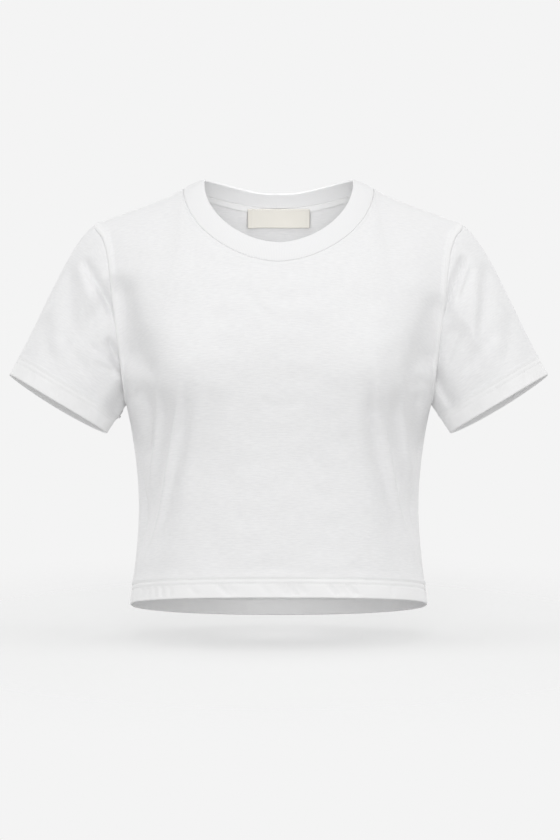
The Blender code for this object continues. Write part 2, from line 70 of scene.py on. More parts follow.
ROLL = 0.100  # height over which the shoulder rounds to its top
SEAM_FORWARD = 0.12  # radians of that rounding between the top and the shoulder seam
NECK_X, TIP_X = 0.1020, 0.1975  # half widths at the inner and outer ends of the shoulder seams
NECK_FRONT_Z, NECK_BACK_Z, NECK_POWER = -0.0835, -0.0140, 1.8
ridge_x, ridge_z = np.array((
    # distance from the middle, height of the top of the shoulder
    (0.000, 0.0150),
    (0.050, 0.0125),
    (NECK_X, 0.0000),
    (0.115, -0.0068),
    (0.128, -0.0122),
    (0.159, -0.0236),
    (0.189, -0.0345),
    (0.220, -0.0465),
)).T
armhole_z, armhole_x = np.array((
    # height, distance of the armhole seam from the middle
    (-0.260, 0.1600),
    (UNDERARM_Z, 0.1630),
    (-0.205, 0.1660),
    (-0.172, 0.1703),
    (-0.130, 0.1757),
    (-0.097, 0.1796),
    (-0.070, 0.1836),
    (-0.053, 0.1893),
    (-0.0396, TIP_X),
)).T


def smooth(keys, values, at):
    """A curve through the values over their keys, level at both ends."""
    slopes = np.zeros(len(keys))
    slopes[1:-1] = (values[2:] - values[:-2]) / (keys[2:] - keys[:-2])
    at = np.clip(at, keys[0], keys[-1])
    i = np.clip(np.searchsorted(keys, at, side="right") - 1, 0, len(keys) - 2)
    gap = keys[i + 1] - keys[i]
    s = (at - keys[i]) / gap
    rise = s * s * (3 - 2 * s)
    bend = s * (1 - s) ** 2 * slopes[i] + s * s * (s - 1) * slopes[i + 1]
    return values[i] * (1 - rise) + values[i + 1] * rise + gap * bend


def ease(s):
    """From 0 to 1 with a soft start and a soft end."""
    s = np.clip(s, 0.0, 1.0)
    return s * s * (3 - 2 * s)


def lay(side, x, height):
    """Points of the body's form at x, this far up the cloth, past the top of the shoulder too."""
    start = smooth(ridge_x, ridge_z, abs(x)) - ROLL
    lift = np.maximum(height - start, 0.0) / ROLL
    z = np.minimum(height, start) + ROLL * np.sin(lift)
    over = np.cos(lift)
    side = np.where(over < 0, -side, side)
    flat = np.minimum(abs(x) / smooth(level_z, level_half, z), 1.0)
    bust = ((abs(x) - BUST_X) / BUST_SPREAD_X) ** 2 + ((z - BUST_Z) / BUST_SPREAD_Z) ** 2
    front = smooth(level_z, level_front, z) + BUST_FULL * np.exp(-bust)
    depth = np.where(side == FRONT, front, smooth(level_z, level_back, z))
    y = side * depth * (1 - flat**SQUARE) ** (1 / SQUARE) * abs(over)
    return np.stack(np.broadcast_arrays(x, y, z), axis=-1)


def shoulder_height(side, x):
    """How far up the cloth the shoulder seam lies at x."""
    return smooth(ridge_x, ridge_z, abs(x)) - ROLL + ROLL * (math.pi / 2 + side * SEAM_FORWARD)


def neckline(side, turn):
    """(x, height) along the neckline seam, from the shoulder at turn 0 to the centre at turn 1."""
    angle = np.clip(turn, 0.0, 1.0) * math.pi / 2
    power = NECK_POWER if side == FRONT else 2.0
    x = NECK_X * np.cos(angle) ** (2 / power)
    drop = np.sin(angle) ** (2 / power)
    top = shoulder_height(side, np.array(NECK_X))
    start = smooth(ridge_x, ridge_z, x) - ROLL
    if side == BACK:
        centre = ridge_z[0] - ROLL
        low = centre + ROLL * math.asin((NECK_BACK_Z - centre) / ROLL)
        return x, top - (top - low) * drop
    top_z = lay(FRONT, np.array(NECK_X), top)[2]
    z = top_z - (top_z - NECK_FRONT_Z) * drop
    bent = start + ROLL * np.arcsin(np.clip((z - start) / ROLL, -1.0, 1.0))
    return x, np.where(turn > 0, np.where(z > start, bent, z), top)


def armhole(side, up):
    """(x, height) along the armhole seam at these shares of its length from the underarm."""
    top = shoulder_height(side, np.array(TIP_X))
    height = np.linspace(UNDERARM_Z, top, 400)
    x = np.full_like(height, TIP_X)
    for _ in range(12):  # x and height depend on each other, and settle in a few rounds
        x = np.minimum(smooth(armhole_z, armhole_x, lay(side, x, height)[:, 2]), TIP_X)
    x[-1] = TIP_X
    step = np.linalg.norm(np.diff(lay(side, x, height), axis=0), axis=1)
    share = np.append(0.0, np.cumsum(step)) / step.sum()
    return np.interp(up, share, x), np.interp(up, share, height)


def closing(count, power=1.6):
    """Shares of the way at which rows or columns lie: wide apart at first, close at the seam."""
    return 1 - (1 - np.linspace(0, 1, count + 1)) ** power


NECK_SHARE = 0.6  # part of a half panel's columns that ends at the neckline
FINE_UP, COARSE_UP = 0.0240, 0.1908  # up the side: rows a millimetre apart, then wider to the underarm
HEM_ROWS = 21  # rows turned up inside
across = np.append(np.linspace(0, NECK_SHARE, 57)[:-1], NECK_SHARE + (1 - NECK_SHARE) * closing(40))
up_armhole = closing(64, 1.4)
up_hem = np.append(np.linspace(0, FINE_UP, 25), FINE_UP + COARSE_UP * np.linspace(0, 1, 53)[1:])
underarm_row = len(up_hem) - 1
middle = len(across) - 1  # column of the centre line
neck_reach = int(np.sum(across <= NECK_SHARE)) - 1  # columns from there to the end of the neckline


def lengths(points, axis):
    """Lengths along the grid's rows or columns from their first points."""
    steps = np.linalg.norm(np.diff(points, axis=axis), axis=2)
    start = np.zeros_like(np.take(steps, [0], axis=axis))
    return np.concatenate((start, np.cumsum(steps, axis=axis)), axis=axis)


def outward(points, facing, ring=False):
    """Unit normals of a grid. facing is -1 where its own order of columns and rows points inwards."""
    if ring:
        points = np.concatenate((points[:, -2:-1], points, points[:, 1:2]), axis=1)
    normals = np.cross(np.gradient(points, axis=1), np.gradient(points, axis=0)) * facing
    normals /= np.linalg.norm(normals, axis=2, keepdims=True)
    return normals[:, 1:-1] if ring else normals


def panel(side):
    """Rows of points from hem to top over the whole width of the front or back."""
    spread = np.sin(across * math.pi / 2) ** (2 / SQUARE)
    y = lay(side, spread * smooth(level_z, level_half, HEM_Z), np.full_like(spread, HEM_Z))[:, 1]
    hem = HEM_Z - HEM_TILT * y - HEM_SAG * y * y
    z = hem + (UNDERARM_Z - hem) * (up_hem / up_hem[-1])[:, None]
    body = lay(side, spread * smooth(level_z, level_half, z), z)

    neck = across <= NECK_SHARE
    top_x, top_h = neckline(side, 1 - across / NECK_SHARE)
    shoulder_x = NECK_X + (TIP_X - NECK_X) * (across - NECK_SHARE) / (1 - NECK_SHARE)
    top = np.where(neck, (top_x, top_h), (shoulder_x, shoulder_height(side, shoulder_x)))
    low = np.array((spread * smooth(level_z, level_half, UNDERARM_Z), np.full_like(spread, UNDERARM_Z)))
    up = up_armhole[1:]
    edge = np.array(armhole(side, up))[:, :, None]
    up = up[:, None]
    low, top = low[:, None, :], top[:, None, :]
    place = (1 - up) * low + up * top
    place = place + across**4 * (edge - place[..., -1:])
    half = np.concatenate((body, lay(side, place[0], place[1])))
    return np.concatenate((half[:, :0:-1] * (-1, 1, 1), half), axis=1)


DEEPENS, DIES_OUT, BEGUN = 0.25, 0.33, 0.12  # shares of a fold's length, and how far on it starts
ROUND = 2.0  # exponent of a round section; a lower one comes to a crest


def trough(folds, x, z):
    """How deep the folds' troughs are at each place."""
    total = np.zeros_like(x)
    s = np.linspace(0, 1, 15)
    for x0, z0, x1, z1, x2, z2, width, depth, *crest in folds:
        path_x = (1 - s) ** 2 * x0 + 2 * s * (1 - s) * x1 + s * s * x2
        path_z = (1 - s) ** 2 * z0 + 2 * s * (1 - s) * z1 + s * s * z2
        nearest, along = np.full_like(x, np.inf), np.zeros_like(x)
        for i in range(len(s) - 1):
            dx, dz = path_x[i + 1] - path_x[i], path_z[i + 1] - path_z[i]
            t = np.clip(((x - path_x[i]) * dx + (z - path_z[i]) * dz) / (dx * dx + dz * dz), 0, 1)
            away = np.hypot(x - path_x[i] - t * dx, z - path_z[i] - t * dz)
            closer = away < nearest
            along = np.where(closer, (i + t) / (len(s) - 1), along)
            nearest = np.where(closer, away, nearest)
        fade = ease(along / DEEPENS + BEGUN) * ease((1 - along) / DIES_OUT + BEGUN)
        total += depth * fade * np.exp(-((nearest / width) ** (crest[0] if crest else ROUND)))
    return total


# How many waves of slack lie over each other, the shortest and longest of them, and their height.
WAVES, WAVE_LENGTHS, SLACK = 16, (0.022, 0.070), 0.00035


def slack(u, v, seed):
    """Shallow waves in all directions, as in any jersey that isn't stretched tight."""
    rng = np.random.default_rng(seed)
    total = np.zeros_like(u)
    for _ in range(WAVES):
        way, length, phase = rng.uniform(0, math.pi), rng.uniform(*WAVE_LENGTHS), rng.uniform(0, 6.3)
        total += np.sin((u * math.cos(way) + v * math.sin(way)) * 2 * math.pi / length + phase)
    return total * SLACK / math.sqrt(WAVES)


SEAM_LINE, ALLOWANCE_END = 0.0009, 0.0030  # widths of a seam's groove and of its allowance's end


def seam(away, sunk, swell, width):
    """Height of the cloth beside a seam: sunk on the line, swollen over the allowance under it."""
    rise = 1 - np.exp(-away / SEAM_LINE)
    plateau = ease((width - away) / ALLOWANCE_END + 0.5)
    return -sunk * (1 - rise) + swell * rise * plateau


def swelling(away, height, spread):
    """A rounded swelling of this height, at these distances from its middle."""
    return height * np.exp(-((away / spread) ** 2))


# Height and spread of a hem's swelling between its needle rows, of the ridge over them, and of the
# groove under each row; and how far that ridge lies above the upper row.
BETWEEN_ROWS, RIDGE, UNDER_ROW = (0.00030, 0.0016), (0.00110, 0.0019), (0.00050, 0.0011)
RIDGE_UP = 0.0026


def hem_relief(v):
    """Relief of a hem's outside: sunk under its needle rows, swollen between and just above them."""
    relief = swelling(v - sum(NEEDLE_ROWS) / 2, *BETWEEN_ROWS)
    relief += swelling(v - NEEDLE_ROWS[1] - RIDGE_UP, *RIDGE)
    for height in NEEDLE_ROWS:
        relief -= swelling(v - height, *UNDER_ROW)
    return relief


front_folds = (
    # start, bend and end of each trough in x and z, its half width, its depth (a ridge's is negative),
    # and the exponent of its section where it isn't round
    (0.125, -0.214, 0.137, -0.295, 0.152, -0.395, 0.0145, 0.0105),
    (0.094, -0.208, 0.110, -0.300, 0.140, -0.420, 0.0120, 0.0080),
    (0.099, -0.200, 0.115, -0.275, 0.152, -0.408, 0.0042, -0.0042, 1.5),
    (0.132, -0.218, 0.141, -0.272, 0.151, -0.335, 0.0032, -0.0034, 1.5),
    (0.149, -0.216, 0.149, -0.248, 0.154, -0.300, 0.0055, 0.0042),
    (0.068, -0.235, 0.086, -0.300, 0.104, -0.365, 0.0080, -0.0020),
    (-0.125, -0.212, -0.137, -0.298, -0.151, -0.400, 0.0145, 0.0115),
    (-0.095, -0.208, -0.111, -0.303, -0.141, -0.418, 0.0120, 0.0080),
    (-0.102, -0.205, -0.116, -0.285, -0.150, -0.418, 0.0042, -0.0042, 1.5),
    (-0.131, -0.222, -0.139, -0.276, -0.147, -0.336, 0.0032, -0.0034, 1.5),
    (-0.142, -0.222, -0.143, -0.250, -0.149, -0.300, 0.0055, 0.0044),
    (-0.060, -0.222, -0.078, -0.268, -0.090, -0.335, 0.0110, 0.0024),
    (0.172, -0.112, 0.164, -0.160, 0.138, -0.202, 0.0150, 0.0036),
    (0.168, -0.176, 0.152, -0.198, 0.128, -0.204, 0.0100, 0.0034),
    (-0.174, -0.092, -0.165, -0.152, -0.137, -0.204, 0.0165, 0.0052),
    (-0.162, -0.172, -0.148, -0.196, -0.126, -0.206, 0.0100, 0.0036),
    (-0.154, -0.222, -0.148, -0.226, -0.136, -0.214, 0.0060, 0.0030),
    (0.158, -0.204, 0.148, -0.216, 0.132, -0.212, 0.0060, 0.0030),
    (0.033, -0.270, 0.052, -0.330, 0.050, -0.425, 0.0130, 0.0020),
    (0.028, -0.288, 0.034, -0.306, 0.048, -0.325, 0.0045, -0.0009, 1.6),
    (-0.052, -0.290, -0.060, -0.350, -0.084, -0.430, 0.0130, 0.0018),
    (-0.018, -0.110, -0.002, -0.136, 0.020, -0.118, 0.0070, 0.0009),
    (-0.040, -0.105, -0.020, -0.142, 0.006, -0.152, 0.0060, 0.0007),
    (-0.024, -0.226, 0.002, -0.248, 0.027, -0.230, 0.0040, 0.0008, 1.7),
    (-0.016, -0.236, 0.006, -0.256, 0.030, -0.246, 0.0035, 0.0006, 1.7),
    (0.010, -0.414, 0.060, -0.414, 0.104, -0.420, 0.0035, 0.0006, 1.6),
    (0.074, -0.404, 0.084, -0.408, 0.090, -0.414, 0.0045, 0.0012, 1.8),
    (-0.030, -0.400, -0.010, -0.408, 0.010, -0.404, 0.0050, 0.0008, 1.8),
)
front_valleys = (
    # the same, over the armhole seams
    (0.181, -0.120, 0.174, -0.162, 0.158, -0.205, 0.0190, 0.0076),
    (-0.183, -0.094, -0.174, -0.152, -0.156, -0.206, 0.0200, 0.0124),
)

PUCKER_TOP = 0.0150  # height above the hem at which its puckers begin


def hem_puckers(rows):
    """Puckers as folds, which all begin at one height."""
    return [(row[0], PUCKER_TOP, *row[1:]) for row in rows]


front_puckers = hem_puckers((
    # start in x; bend and end in x and height above the hem; half width and depth
    (-0.0640, -0.0580, 0.0085, -0.0500, 0.0010, 0.0026, 0.0019),
    (-0.0560, -0.0500, 0.0090, -0.0440, 0.0030, 0.0022, 0.0010),
    (-0.0200, -0.0150, 0.0090, -0.0090, 0.0030, 0.0024, 0.0009),
    (-0.0010, 0.0050, 0.0085, 0.0120, 0.0010, 0.0024, 0.0019),
    (0.0080, 0.0145, 0.0085, 0.0210, 0.0010, 0.0024, 0.0021),
    (0.0180, 0.0240, 0.0090, 0.0300, 0.0030, 0.0022, 0.0014),
    (0.0510, 0.0570, 0.0085, 0.0640, 0.0010, 0.0026, 0.0019),
    (0.0600, 0.0660, 0.0090, 0.0720, 0.0030, 0.0022, 0.0009),
    (0.0700, 0.0770, 0.0085, 0.0850, 0.0010, 0.0028, 0.0019),
    (-0.1440, -0.1440, 0.0080, -0.1450, 0.0000, 0.0018, 0.0014),
    (-0.1380, -0.1380, 0.0080, -0.1385, 0.0000, 0.0018, 0.0015),
    (-0.1310, -0.1310, 0.0080, -0.1312, 0.0000, 0.0020, 0.0015),
    (-0.1235, -0.1235, 0.0080, -0.1230, 0.0010, 0.0020, 0.0014),
    (-0.1150, -0.1145, 0.0080, -0.1130, 0.0010, 0.0022, 0.0009),
    (0.1180, 0.1190, 0.0080, 0.1210, 0.0010, 0.0024, 0.0009),
    (-0.0950, -0.0900, 0.0080, -0.0850, 0.0020, 0.0030, 0.0009),
))


# Distances from side and top over which folds come to their full depth, and from a seam and the hem
# over which slack does; how far on folds are at the top; and the relief of a side seam.
FOLDS_SIDE, FOLDS_TOP, SLACK_SEAM, SLACK_HEM = 0.018, 0.030, 0.020, 0.030
BEGUN_TOP = 0.02
SIDE_SEAM = (0.0005, 0.0003, 0.004)
DOUBLE_AND_HIGHLIGHT_END, ARM_DOUBLE_AND_HIGHLIGHT_END = 0.002, 0.004  # how softly the whiter cloth ends at the hem and the armhole: whiter where a second ply lies under it, and at the armhole also a painted highlight


def press(side, folds, valleys, puckers, seed, allowances):
    """A panel in its folds, with its sewn edges, its lengths across and up in metres, and where the
    cloth is drawn whiter: where a second ply lies under it, and along the armhole seam as a painted
    highlight. The valleys run on over the armhole seams into the sleeves."""
    base = panel(side)
    base[..., 1] -= side * trough(valleys, base[..., 0], base[..., 2])
    normals = outward(base, -side)
    x, z = base[..., 0], base[..., 2]
    u = lengths(base, 1)
    from_side = np.minimum(u, u[:, -1:] - u)
    v = lengths(base, 0)
    from_top = v[-1:] - v
    neck, shoulder, arm = allowances
    low = underarm_row + 1
    is_neck = abs(np.arange(base.shape[1]) - middle) <= neck_reach
    near = ease(from_side / FOLDS_SIDE) * ease(from_top / FOLDS_TOP + BEGUN_TOP)
    lift = -trough(folds, x, z) * near
    lift -= trough(puckers, x, v)
    loose = ease(from_side / SLACK_SEAM) * ease(from_top / SLACK_SEAM) * ease(v / SLACK_HEM)
    lift += slack(x, z, seed) * loose
    from_middle = abs(u - u[:, [middle]])
    corner = from_middle[-1, middle + neck_reach]
    aside = np.hypot(from_top, from_middle - corner)
    lift += seam(np.where(is_neck, from_top, aside), *neck)
    lift += seam(np.where(is_neck, aside, from_top), *shoulder)
    lift[low:] += seam(from_side[low:], *arm)
    lift[:low] += seam(from_side[:low], *SIDE_SEAM)
    lift += hem_relief(v)
    # Whiter over the shoulder and armhole allowances, where a second ply lies under the cloth; along
    # the armhole this whiter band is also a painted highlight of the seam's ridge.
    double_and_highlight = np.where(is_neck, 0.0, ease((shoulder[2] - from_top) / DOUBLE_AND_HIGHLIGHT_END))
    double_and_highlight[low:] = np.maximum(double_and_highlight[low:], ease((arm[2] - from_side[low:]) / ARM_DOUBLE_AND_HIGHLIGHT_END))
    return base + normals * lift[..., None], u - u[:, [middle]], v, double_and_highlight


PLY_GAP = 0.0001  # air between the plies of a hem
RAW_EDGE_UP = 0.0035  # from the upper needle row to where the hem stops showing whiter


def turn_up(outer, u, v, double_and_highlight, facing, ring=False):
    """Adds the fold of a hem and the cloth turned up inside it, below the grid's first row."""
    normals = outward(outer, facing, ring)
    rows = slice(HEM_ROWS, 0, -1)
    inside = outer[rows] - normals[rows] * (2 * JERSEY + PLY_GAP)
    fold = outer[:1] - normals[:1] * (JERSEY + PLY_GAP / 2)
    points = np.concatenate((inside, fold, outer[1:]))
    double_and_highlight = np.maximum(double_and_highlight, ease((NEEDLE_ROWS[1] + RAW_EDGE_UP - v) / DOUBLE_AND_HIGHLIGHT_END))
    return points, *(np.concatenate((below, grid)) for below, grid in (
        (u[rows], u), (-v[rows], v), (double_and_highlight[rows], double_and_highlight)
    ))


def piece_of(name, bm):
    """Makes a piece of the scene from a bmesh."""
    mesh = bpy.data.meshes.new(name)
    bm.to_mesh(mesh)
    bm.free()
    mesh.shade_smooth()
    piece = bpy.data.objects.new(name, mesh)
    bpy.context.scene.collection.objects.link(piece)
    return piece


def knit_mesh(name, points, u, v, double_and_highlight, facing, thickness=JERSEY, ring=False):
    """A grid of cloth with points at these places, faced outwards, and its own lengths as UVs. Its
    attribute tells where the cloth is drawn whiter: where another ply lies under it, and along the
    armhole seams as a painted highlight."""
    double_and_highlight = np.broadcast_to(double_and_highlight, u.shape)
    if facing < 0:
        points, u, v, double_and_highlight = points[:, ::-1], u[:, ::-1], v[:, ::-1], double_and_highlight[:, ::-1]
    rows, columns = points.shape[:2]
    bm = bmesh.new()
    bmesh.ops.create_grid(bm, x_segments=columns - 1, y_segments=rows - 1, size=1)
    # A layer for where the cloth is drawn whiter: for another ply under it, and along the armhole seams
    # as a painted highlight.
    under = bm.verts.layers.float.new("double_and_highlight")
    for vert, place, plies_and_highlight in zip(bm.verts, points.reshape(-1, 3), double_and_highlight.ravel()):
        vert.co = place
        vert[under] = plies_and_highlight
    flat = np.stack((u, v), axis=-1).reshape(-1, 2)
    cloth = bm.loops.layers.uv.new("cloth")
    for face in bm.faces:
        for corner in face.loops:
            corner[cloth].uv = flat[corner.vert.index]
    if ring:
        bmesh.ops.remove_doubles(bm, verts=bm.verts, dist=1e-7)
    piece = piece_of(name, bm)
    wall = piece.modifiers.new("ply", "SOLIDIFY")
    wall.thickness, wall.offset = thickness, -1.0
    return piece


def linear(hex_colour):
    """An sRGB hex colour as linear red, green, blue and alpha."""
    parts = [int(hex_colour[i : i + 2], 16) / 255 for i in (1, 3, 5)]
    return (*[c / 12.92 if c <= 0.04045 else ((c + 0.055) / 1.055) ** 2.4 for c in parts], 1.0)


def node(tree, kind, inputs=(), **settings):
    """Adds a node with these settings, and joins sockets to its inputs or gives them plain values."""
    made = tree.nodes.new(kind)
    for key, value in settings.items():
        if hasattr(made, key):
            setattr(made, key, value)
        else:
            made.inputs[key.replace("_", " ")].default_value = value
    for given, target in inputs:
        if isinstance(given, bpy.types.NodeSocket):
            tree.links.new(given, made.inputs[target])
        else:
            made.inputs[target].default_value = given
    return made


def surface(name, **settings):
    """A new material with its node tree and its shader, whose inputs are set as given."""
    material = bpy.data.materials.new(name)
    material.use_nodes = True
    tree = material.node_tree
    shader = tree.nodes["Principled BSDF"]
    for key, value in settings.items():
        shader.inputs[key.replace("_", " ")].default_value = value
    return material, tree, shader


def soft_cotton(name):
    """Combed cotton: matt, with a faint fuzz that lightens its edges and a little light let through."""
    return surface(
        name,
        Roughness=0.88,
        Specular_IOR_Level=0.25,
        Sheen_Weight=0.45,
        Sheen_Roughness=0.5,
        Subsurface_Weight=0.10,
        Subsurface_Radius=(1.0, 1.0, 1.0),
        Subsurface_Scale=0.002,
    )


COURSE = 0.8  # height of a course of loops, as a share of a wale's width


def cotton_jersey(name, light, shade, lined_and_highlight, wale, knit_depth, slub_depth):
    """Single jersey: rows of loops too fine to count from a step away, and slubs, the thicker lengths
    of yarn that run across. It is whiter where another ply lies under it, as less dark shows through,
    and along the armhole seams, where that whiter colour is a painted highlight."""
    material, tree, shader = soft_cotton(name)
    cloth = node(tree, "ShaderNodeUVMap", uv_map="cloth").outputs["UV"]
    # Slubs: lengths of 5 to 20 mm, a millimetre high.
    yarn = node(tree, "ShaderNodeMapping", [(cloth, "Vector")], Scale=(110.0, 760.0, 1.0))
    slubs = node(
        tree, "ShaderNodeTexNoise", [(yarn.outputs[0], "Vector")], Scale=1.0, Detail=4.0, Roughness=0.6
    )
    tones = [(slubs.outputs[0], 0), (linear(shade), 6), (linear(light), 7)]
    tint = node(tree, "ShaderNodeMix", tones, data_type="RGBA")
    # Whiter where the attribute says so: for a second ply under the cloth, and along the armhole seams
    # as a painted highlight.
    double_and_highlight = node(tree, "ShaderNodeAttribute", attribute_name="double_and_highlight").outputs["Fac"]
    plies_and_highlight = [(double_and_highlight, 0), (tint.outputs[2], 6), (linear(lined_and_highlight), 7)]
    white = node(tree, "ShaderNodeMix", plies_and_highlight, data_type="RGBA")
    tree.links.new(white.outputs[2], shader.inputs["Base Color"])
    # Loops: wales upright, each course a row of small chevrons.
    split = node(tree, "ShaderNodeSeparateXYZ", [(cloth, 0)])
    column = node(tree, "ShaderNodeMath", [(split.outputs[0], 0), (1 / wale, 1)], operation="MULTIPLY")
    fold = node(tree, "ShaderNodeMath", [(column.outputs[0], 0), (0.5, 1)], operation="PINGPONG")
    courses = 1 / (wale * COURSE)
    row = node(tree, "ShaderNodeMath", [(split.outputs[1], 0), (courses, 1)], operation="MULTIPLY")
    chevron = node(tree, "ShaderNodeMath", [(fold.outputs[0], 0), (row.outputs[0], 1)], operation="ADD")
    course = node(tree, "ShaderNodeMath", [(chevron.outputs[0], 0), (0.5, 1)], operation="PINGPONG")
    height = [(fold.outputs[0], 0), (course.outputs[0], 1)]
    loops = node(tree, "ShaderNodeMath", height, operation="ADD")
    knit = node(tree, "ShaderNodeBump", [(loops.outputs[0], "Height")], Distance=knit_depth)
    over_knit = [(slubs.outputs[0], "Height"), (knit.outputs[0], "Normal")]
    bump = node(tree, "ShaderNodeBump", over_knit, Distance=slub_depth)
    tree.links.new(bump.outputs[0], shader.inputs["Normal"])
    return material


# White jersey, its loops at their real width of 0.9 mm.
white_jersey = cotton_jersey(
    "cotton_single_jersey",
    light="#F5F5F5",
    shade="#E1E1E2",
    # the whiter tone for two plies, which along the armhole seams is also a painted highlight
    lined_and_highlight="#F2F2F2",
    wale=0.0009,
    knit_depth=0.00006,
    slub_depth=0.00016,
)

# Spun polyester: white, and a little glossier than the cotton that it sinks into.
sewing_thread, thread_tree, thread_shader = surface("spun_polyester_thread", Roughness=0.6)
thread_place = node(thread_tree, "ShaderNodeTexCoord").outputs["Object"]
fibres = node(thread_tree, "ShaderNodeTexNoise", [(thread_place, "Vector")], Scale=2500.0, Detail=2.0)
thread_tones = [(fibres.outputs[0], 0), (linear("#E4E4E4"), 6), (linear("#F4F4F4"), 7)]
thread_tint = node(thread_tree, "ShaderNodeMix", thread_tones, data_type="RGBA")
thread_tree.links.new(thread_tint.outputs[2], thread_shader.inputs["Base Color"])

STITCH, THREAD = 0.0028, 0.00045  # length of a stitch; thickness, a little coarser than the real one
STITCH_SHOWN = 0.82  # share of a stitch's length between its two holes
NEEDLE_PROUD, LOOPER_PROUD = 0.25, 0.4  # how far the thread's middle stands out, in thicknesses


def row_at(points, v, height):
    """The points of each of a grid's columns at this height up the cloth, or each at its own."""
    heights = np.broadcast_to(height, v.shape[1])
    return np.array([
        [np.interp(heights[j], v[:, j], points[:, j, k]) for k in range(3)] for j in range(v.shape[1])
    ])


def at_steps(path, normals, step):
    """Points and normals along a path at equal steps."""
    along = np.append(0.0, np.cumsum(np.linalg.norm(np.diff(path, axis=0), axis=1)))
    at = np.arange(step / 2, along[-1] - step / 4, step)
    places = np.stack([np.interp(at, along, path[:, k]) for k in range(3)], axis=1)
    facing = np.stack([np.interp(at, along, normals[:, k]) for k in range(3)], axis=1)
    return places, facing


def sewn_segment(bm, start, end, normal):
    """One visible length of thread, rounded at its ends where it goes into the cloth."""
    along = end - start
    length = np.linalg.norm(along)
    along = along / length
    side = np.cross(normal, along)
    side /= np.linalg.norm(side)
    up = np.cross(along, side)
    axes = np.column_stack((along * length / 2, side * THREAD / 2, up * THREAD / 2))
    place = Matrix.Translation(Vector((start + end) / 2)) @ Matrix(axes.tolist()).to_4x4()
    bmesh.ops.create_icosphere(bm, subdivisions=1, radius=1.0, matrix=place)


def needle_row(bm, path, normals):
    """A row of stitches along a seam, with a short gap where each goes down into the cloth."""
    places, facing = at_steps(path + normals * THREAD * NEEDLE_PROUD, normals, STITCH)
    for a, b, normal in zip(places, places[1:], facing):
        sewn_segment(bm, a, a + (b - a) * STITCH_SHOWN, normal)


def looper_band(bm, lower, upper, normals):
    """Loops that cross between the two needle rows on the inside of a hem."""
    low, facing = at_steps(lower + normals * THREAD * LOOPER_PROUD, normals, STITCH / 2)
    high, _ = at_steps(upper + normals * THREAD * LOOPER_PROUD, normals, STITCH / 2)
    for k in range(min(len(low), len(high)) - 1):
        a, b = (low[k], high[k + 1]) if k % 2 else (high[k], low[k + 1])
        sewn_segment(bm, a, b, facing[k])


def thread_piece(name, bm):
    """Stitches as a piece, in the slot of the cloth that they go through."""
    piece = piece_of(name, bm)
    piece.data.materials.append(sewing_thread)
    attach(piece, "root")
    return piece


def sew_hem(name, hemmed, facing, ring=False):
    """The thread of a hem, from a grid with its cloth turned up."""
    points, _, v, _ = hemmed
    normals = outward(points, facing, ring)
    bm = bmesh.new()
    for height in NEEDLE_ROWS:
        needle_row(bm, row_at(points, v, height), row_at(normals, v, height))
    low, high = -NEEDLE_ROWS[0], -NEEDLE_ROWS[1]  # the cloth turned up inside counts below the fold
    looper_band(bm, row_at(points, v, low), row_at(points, v, high), row_at(normals, v, low))
    return thread_piece(name, bm)


front_allowances = (
    # how far each seam is sunk, how far the cloth beside it swells, and how wide the allowance is:
    # neckline, shoulder, armhole
    (0.0002, 0.0004, 0.0050),
    (0.0003, 0.0002, 0.0010),
    (0.0006, 0.0015, 0.0085),
)
front_outer, front_u, front_v, front_double_and_highlight = press(
    FRONT, front_folds, front_valleys, front_puckers, 3, front_allowances
)
front_hemmed = turn_up(front_outer, front_u, front_v, front_double_and_highlight, -FRONT)
front = knit_mesh("jersey_front", *front_hemmed, -FRONT)
front.data.materials.append(white_jersey)
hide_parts("front_panel")
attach(front, "root")
front_thread = sew_hem("hem_thread_front", front_hemmed, -FRONT)


# ---- Back panel --------------------------------------------------------------------------------------
# The back is cut from the same jersey, higher at the neck than the front. It is joined to the front by
# overlocked seams at the shoulders and sides, and falls in long soft folds below the shoulder blades.
back_folds = (
    # start, bend and end of each trough in x and z, its half width, its depth, its section's exponent
    (0.120, -0.200, 0.112, -0.290, 0.138, -0.410, 0.0120, 0.0075),
    (-0.126, -0.205, -0.116, -0.300, -0.132, -0.420, 0.0125, 0.0067),
    (0.062, -0.235, 0.058, -0.330, 0.078, -0.450, 0.0130, 0.0060),
    (-0.050, -0.225, -0.062, -0.330, -0.064, -0.450, 0.0140, 0.0067),
    (0.004, -0.300, -0.006, -0.370, 0.008, -0.460, 0.0150, 0.0045),
    (0.150, -0.120, 0.128, -0.165, 0.098, -0.180, 0.0140, 0.0034),
    (-0.152, -0.130, -0.132, -0.170, -0.104, -0.190, 0.0140, 0.0034),
    (0.092, -0.230, 0.090, -0.310, 0.110, -0.420, 0.0070, -0.0033, 1.6),
    (-0.088, -0.240, -0.090, -0.320, -0.100, -0.430, 0.0070, -0.0030, 1.6),
    (0.140, -0.235, 0.136, -0.290, 0.150, -0.360, 0.0055, 0.0042),
    (-0.142, -0.230, -0.138, -0.285, -0.150, -0.350, 0.0050, 0.0039),
    (0.030, -0.310, 0.032, -0.360, 0.040, -0.430, 0.0060, -0.0018, 1.7),
    (-0.028, -0.290, -0.034, -0.350, -0.030, -0.420, 0.0060, -0.0019, 1.7),
    (0.168, -0.090, 0.160, -0.135, 0.140, -0.180, 0.0120, 0.0022),
    (-0.168, -0.095, -0.160, -0.140, -0.138, -0.185, 0.0120, 0.0024),
    (0.155, -0.205, 0.138, -0.222, 0.112, -0.214, 0.0060, 0.0024),
    (-0.156, -0.210, -0.140, -0.226, -0.118, -0.216, 0.0060, 0.0024),
    (-0.030, -0.060, 0.000, -0.085, 0.034, -0.058, 0.0090, 0.0012),
)
